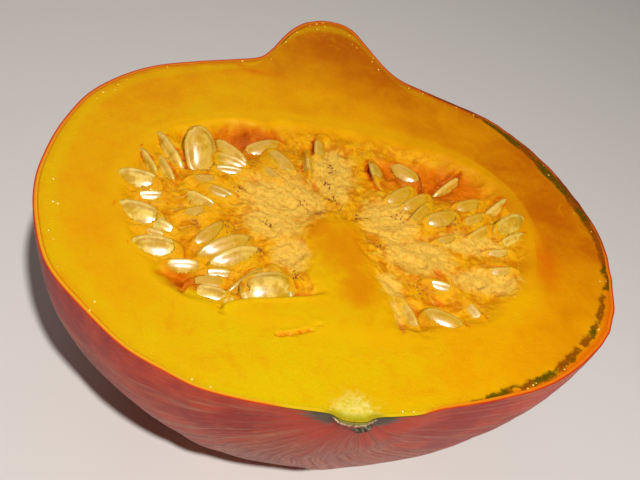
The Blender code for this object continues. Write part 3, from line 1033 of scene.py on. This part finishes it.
pulp_bm = new_body("from_outer", "from_inner", "firm", "peach", "deep", "film", "tint")
wall_edge = add_layer(pulp_bm, CAVITY_OUTLINE, 0, HIDDEN_MERIDIANS, swells=False)
middle = place(*RINGS_MEET, 0)
inner_ring = bmesh.ops.create_circle(
    pulp_bm, segments=len(wall_edge), radius=INNERMOST_RING * MM, matrix=Matrix.Translation(middle)
)["verts"]
pulp_top = add_rim(pulp_bm, wall_edge, inner_ring, PULP_RINGS)
at_middle = [vert for vert in pulp_top if (vert.co - middle).length < 1.03 * INNERMOST_RING * MM]
bmesh.ops.pointmerge(pulp_bm, verts=at_middle, merge_co=middle)
layer = pulp_bm.verts.layers.float
from_outer, firm_of, peach_of, deep_of, film_of, tint_of = (
    layer[name] for name in ("from_outer", "firm", "peach", "deep", "film", "tint")
)


def shown_part(number, point, loose):
    """Under 1 inside the part of a seed that the tissue leaves bare, over 1 outside it."""
    *_, shown_length, shown_width, _, size = SEEDS[number]
    local = seed_frames[number] @ point / MM
    middle = (SEED_WIDTH * size - shown_width) / 2
    along = local.x / (shown_length * 0.46)
    across = (local.y - middle) / (shown_width / 2 + 0.3)
    return math.hypot(along, across) + 0.16 * loose


def over_seeds(across, along, height, loose):
    """The pulp's height where it meets the seeds, how much painted shade it gets round them, and its film
    on them.
    """
    # Its second value paints shade into the tissue: under a bare seed, in the groove round its bare part
    # and where the tissue climbs a seed's side.
    struck, _, face, _ = seed_tree.ray_cast(place(across, along, 30), (0, 0, -1))
    if struck:
        top = struck.z / MM - CUT_HEIGHT
        if shown_part(face // faces_a_seed, struck, loose) < 1:
            return min(height, top - BELOW_A_BARE_SEED), 1.0, 0.0
        if top + FILM > height:
            return top + FILM + 0.12 * loose, 0.0, 1.0
        return height, 0.0, 0.0
    near, _, face, gap = seed_tree.find_nearest(place(across, along, height))
    climb = near.z / MM - CUT_HEIGHT - height
    closeness = hump(gap / MM, ROUND_A_SEED)
    if shown_part(face // faces_a_seed, near, loose) <= 1:
        return height - 0.7 * closeness, 1.1 * closeness, 0.0
    if climb > 0:
        return height + 0.8 * climb * closeness, 0.8 * closeness, 0.0
    return height, 0.0, 0.0


def lip_at(across, along):
    """How far the flap's lip and the gap behind it raise the pulp, and how much painted shadow lies in
    that gap.
    """
    past_lip = away_from_line(FLAP, across, along) - FLAP_REACH
    far_side = smooth_step((along - 0.2 * across - 40) / 3) * smooth_step((-1 - across) / 9)
    behind = far_side * hump(past_lip - 1.0, 1.0)
    rise = LIP_RISE * far_side * hump(past_lip + 1.0, 1.2)
    return rise - LIP_GAP * behind, behind * hump(across + 14, 6.5)


for vert in pulp_bm.verts:
    if abs(vert.co.z - CUT_HEIGHT * MM) > 1e-7:
        continue
    across, along, _ = spot_of(vert.co)
    firm = firmness(across, along)
    loose = clumps_at(across, along)
    level = pulp_level(across, along)
    # The second value that over_seeds gives is painted shade round the seeds.
    height, bare, vert[film_of] = over_seeds(across, along, level + loose, loose)
    frayed = smooth_step(vert[from_outer] / 9 - 0.1 + 0.25 * noise.noise(vert.co / (8 * MM)))
    height = -SEAM_DROP + (height + SEAM_DROP) * frayed
    flat = -SEAM_DROP * (1 - smooth_step(vert[from_outer] / SEAM_WIDTH))
    height += (flat - height) * firm
    # lip_at also gives the painted shadow in the gap behind the flap's lip.
    lip_lift, painted_shadow_behind_lip = lip_at(across, along)
    torn, tear_lift = torn_at(across, along)
    vert[firm_of] = firm
    vert[peach_of] = patch(PEACH, across, along)
    vert[tint_of] = patch(TONGUE_TINT, across, along)
    # Deep orange goes in the hollows, tears and listed patches; the crevices of the loose tissue, the
    # tissue round the seeds and the gap behind the flap's lip get painted shade.
    hollow = smooth_step((-level - PULP_DROP - 0.6) / 4.5)
    crevice_painted_shade = smooth_step(-loose - 0.2) * (1 - 0.8 * vert[peach_of])
    deep_orange_and_painted_shade = (0.8 * hollow + 0.9 * crevice_painted_shade) * frayed + bare
    deep_orange_and_painted_shade += 0.6 * patch(DEEP, across, along) * (0.9 + noise.noise(vert.co / (3 * MM)))
    vert[deep_of] = max(1.2 * painted_shadow_behind_lip, 0.9 * torn, deep_orange_and_painted_shade * (1 - firm))
    vert.co = place(across, along, height + lip_lift + tear_lift)
pulp_tree = BVHTree.FromBMesh(pulp_bm)
pulp = finished(pulp_bm, "pulp", "pulp", pulp_material, "pulp_and_seeds")
pulp.data.set_sharp_from_angle(angle=math.radians(75))

# Single fibres lie over the pulp, most of them along the fan, with short dark red-brown threads
# at the middle and round some seeds. They grow from the pulp and are a part of it.
FIBRES = 420
FIBRE_RADIUS = 0.09
FIBRE_LENGTH = (4, 11)
FIBRE_FIELD = (0.0, 79.0, 68.0, 46.0)
THREADS_A_SPOT = 11
THREAD_RADIUS = (0.1, 0.27)
THREAD_LENGTH = (0.4, 1.6)
chance = random.Random(3)

# Where the dark threads gather: middle across and along, and how far they spread.
DARK_SPOTS = [
    (-4.0, 82.5, 1.6), (-10.5, 86.0, 3.0), (-22.5, 74.5, 2.0), (1.0, 90.5, 2.2), (2.0, 107.0, 2.6),
    (17.0, 70.5, 2.2), (10.0, 83.0, 2.2), (26.0, 86.0, 3.0), (69.0, 58.3, 2.0), (-33.0, 90.0, 2.0),
    (-37.0, 71.0, 3.0), (-13.0, 52.0, 2.6), (-38.0, 38.5, 1.0), (17.5, 45.0, 3.5), (30.0, 52.0, 2.5),
    (48.0, 40.5, 2.5), (-47.0, 71.0, 2.2), (47.0, 84.0, 2.5), (-26.0, 60.0, 2.0), (-62.0, 62.5, 2.0),
    (2.5, 86.0, 3.0), (-1.5, 98.0, 3.0),
]


def on_pulp(across, along, lift):
    """The point of the pulp's surface at a place, raised a little, or nothing past its edge."""
    struck = pulp_tree.ray_cast(place(across, along, 30), (0, 0, -1))[0]
    return struck + Vector((0, 0, lift * MM)) if struck else None


def add_strand(curve, across, along, heading, length, steps, wander, lift, radius):
    """One strand of points over the pulp, thinning towards its ends."""
    x, y, reach_x, reach_y = FIBRE_FIELD
    points = []
    for _ in range(steps + 1):
        point = on_pulp(across, along, lift)
        outside = math.hypot((across - x) / reach_x, (along - y) / reach_y) > 1
        if point is None or outside or firmness(across, along) > 0.5:
            break
        points.append(point)
        heading += chance.uniform(-wander, wander)
        across += math.cos(heading) * length / steps
        along += math.sin(heading) * length / steps
    if len(points) > 2:
        spline = curve.splines.new("POLY")
        spline.points.add(len(points) - 1)
        for number, (target, point) in enumerate(zip(spline.points, points)):
            target.co = (*point, 1)
            target.radius = radius * (0.35 + 0.65 * math.sin(math.pi * (number + 0.5) / len(points)))


def strands_as_piece(curve, name, slot, material):
    """Makes the strands of a curve one mesh piece."""
    curve.dimensions = "3D"
    curve.bevel_depth = MM
    curve.bevel_resolution = 0
    curve.use_fill_caps = True
    stand_in = bpy.data.objects.new(name + "_curve", curve)
    mesh = bpy.data.meshes.new_from_object(stand_in)
    bpy.data.objects.remove(stand_in)
    bm = bmesh.new()
    bm.from_mesh(mesh)
    finished(bm, name, slot, material)


def mottled_material(name, grain, edges, dark, light, relief=0.0, **sockets):
    """A material whose colour goes from dark to light with a noise, with a relief in metres."""
    material, tree, shader = new_material(name, **sockets)
    mottle = speckle(tree, *grain)
    tone = blend(fade(mottle, *edges), dark, light)
    tree.links.new(tone, shader.inputs["Base Color"])
    if relief:
        bump(shader, mottle, relief)
    return material


fibre_material = mottled_material(
    "pale_fibre",
    grain=(150.0, 3.0),
    edges=(0.42, 0.58),
    dark=(216, 146, 22),
    light=(236, 184, 62),
    Roughness=0.35,
    Subsurface_Weight=0.3,
    Subsurface_Scale=0.001,
)
thread_material = mottled_material(
    "dark_red_thread",
    grain=(900.0, 3.0),
    edges=(0.42, 0.58),
    dark=(104, 40, 12),
    light=(176, 92, 24),
    Roughness=0.6,
)

fibre_curve = bpy.data.curves.new("fibres", "CURVE")
for _ in range(FIBRES):
    angle = chance.uniform(-math.pi, math.pi)
    reach = 10 + 62 * chance.random() ** 0.7
    across = FIBRE_HUB[0] + math.cos(angle) * reach
    along = FIBRE_HUB[1] + math.sin(angle) * reach * 0.72
    heading = math.atan2(along - FIBRE_HUB[1], across - FIBRE_HUB[0]) + chance.gauss(0, 0.35)
    length = chance.uniform(*FIBRE_LENGTH)
    radius = FIBRE_RADIUS * chance.uniform(0.6, 1.3)
    add_strand(fibre_curve, across, along, heading, length, 8, 0.12, 0.03, radius)
strands_as_piece(fibre_curve, "fibres", "pulp", fibre_material)
thread_curve = bpy.data.curves.new("dark_threads", "CURVE")
for x, y, spread in DARK_SPOTS:
    for _ in range(THREADS_A_SPOT):
        across, along = x + chance.gauss(0, spread * 0.45), y + chance.gauss(0, spread * 0.45)
        heading = chance.uniform(-math.pi, math.pi)
        radius = chance.uniform(*THREAD_RADIUS)
        length = chance.uniform(*THREAD_LENGTH)
        add_strand(thread_curve, across, along, heading, length, 4, 0.9, 0.06, radius)
strands_as_piece(thread_curve, "dark_threads", "pulp", thread_material)

# The blossom left a ring of pale cork on the skin. The knife cut it in half, and a dry tuft
# of the old flower still hangs below it.
RING_RADIUS = 6.6
RING_THICKNESS = 0.5
TUFT_PLACE = (6.6, -5.0)
TUFT_SIZE = (2.3, 0.9, 2.1)


def on_skin(across, height):
    """The point of the skin at the scar that lies at a place across and above the cut face."""
    start = place(across, -40, min(height, -0.15))
    return skin_tree.ray_cast(start, (0, 1, 0))[0]


cork_material = mottled_material(
    "pale_cork",
    grain=(1200.0, 4.0, 0.6),
    edges=(0.40, 0.60),
    dark=(112, 84, 60),
    light=(214, 180, 140),
    relief=0.0003,
    Roughness=0.85,
)

ring_bm = bmesh.new()
section = bmesh.ops.create_circle(
    ring_bm,
    segments=10,
    radius=RING_THICKNESS,
    matrix=Matrix.Translation((RING_RADIUS, 0, 0)) @ Matrix.Rotation(math.pi / 2, 4, "X"),
)["verts"]
bmesh.ops.spin(
    ring_bm, geom=[*section, *ring_bm.edges], cent=(0, 0, 0), axis=(0, 1, 0), angle=math.pi, steps=60
)
bmesh.ops.holes_fill(ring_bm, edges=[edge for edge in ring_bm.edges if edge.is_boundary])
for vert in ring_bm.verts:
    turned = math.atan2(-vert.co.z, vert.co.x)
    across = SCAR_MIDDLE + RING_RADIUS * math.cos(turned)
    height = -RING_RADIUS * SCAR_FLATTENED * math.sin(turned)
    seat = on_skin(across, height)
    corky = 1 + 0.8 * noise.noise(Vector((turned * 5, vert.co.y, 1))) + 0.5 * noise.noise(vert.co * 1.5)
    outward = (math.hypot(vert.co.x, vert.co.z) - RING_RADIUS) * corky
    vert.co = seat + Vector(
        (outward * math.cos(turned), vert.co.y * corky - 0.1, -outward * math.sin(turned))
    ) * MM
    vert.co.z = min(vert.co.z, (CUT_HEIGHT - 0.02) * MM)
bmesh.ops.recalc_face_normals(ring_bm, faces=ring_bm.faces[:])
finished(ring_bm, "scar_ring", "rind", cork_material)

tuft_material = mottled_material(
    "dry_tuft",
    grain=(1000.0, 4.0, 0.6),
    edges=(0.44, 0.64),
    dark=(54, 50, 38),
    light=(150, 138, 104),
    relief=0.0005,
    Roughness=0.9,
)

tuft_bm = bmesh.new()
seat = on_skin(*TUFT_PLACE)
for vert in bmesh.ops.create_icosphere(tuft_bm, subdivisions=4, radius=1)["verts"]:
    shaggy = 1 + 0.7 * noise.noise(vert.co * 2.2) + 0.35 * noise.noise(vert.co * 6)
    vert.co = seat + vert.co * Vector(TUFT_SIZE) * shaggy * MM
finished(tuft_bm, "tuft", "rind", tuft_material)

# Beads of clear yellow juice stand on the cut face. They welled up from the cut vessels, most
# of which lie in a ring just inside the skin.
DROPS = 70
DROP_BREADTH = (0.2, 0.5)
VESSELS_INSIDE = 4.5
VESSELS_SPREAD = 2.0
drop_material = mottled_material(
    "juice",
    grain=(60.0, 2.0),
    edges=(0.4, 0.6),
    dark=(236, 186, 40),
    light=(244, 218, 110),
    Roughness=0.08,
    Coat_Weight=1.0,
)

drops_bm = bmesh.new()
rim_places = [row for row in FRUIT_OUTLINE if row[0] > 3]
for _ in range(DROPS):
    along, left, right = row_at(rim_places, chance.random())
    inwards = abs(chance.gauss(VESSELS_INSIDE, VESSELS_SPREAD))
    across = left + inwards if chance.random() < 0.6 else right - inwards
    seat = flesh_tree.ray_cast(place(across, along, 30), (0, 0, -1))[0]
    if seat:
        breadth = chance.uniform(*DROP_BREADTH) * MM
        shape = Matrix.Diagonal((breadth, breadth * 0.9, breadth * 0.6, 1))
        bmesh.ops.create_icosphere(
            drops_bm, subdivisions=2, radius=1, matrix=Matrix.Translation(seat) @ shape
        )
finished(drops_bm, "juice_drops", "flesh", drop_material)

size = {
    "cad": [list(corner) for corner in cad_box],
    "visual": [list(corner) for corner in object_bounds()],
}
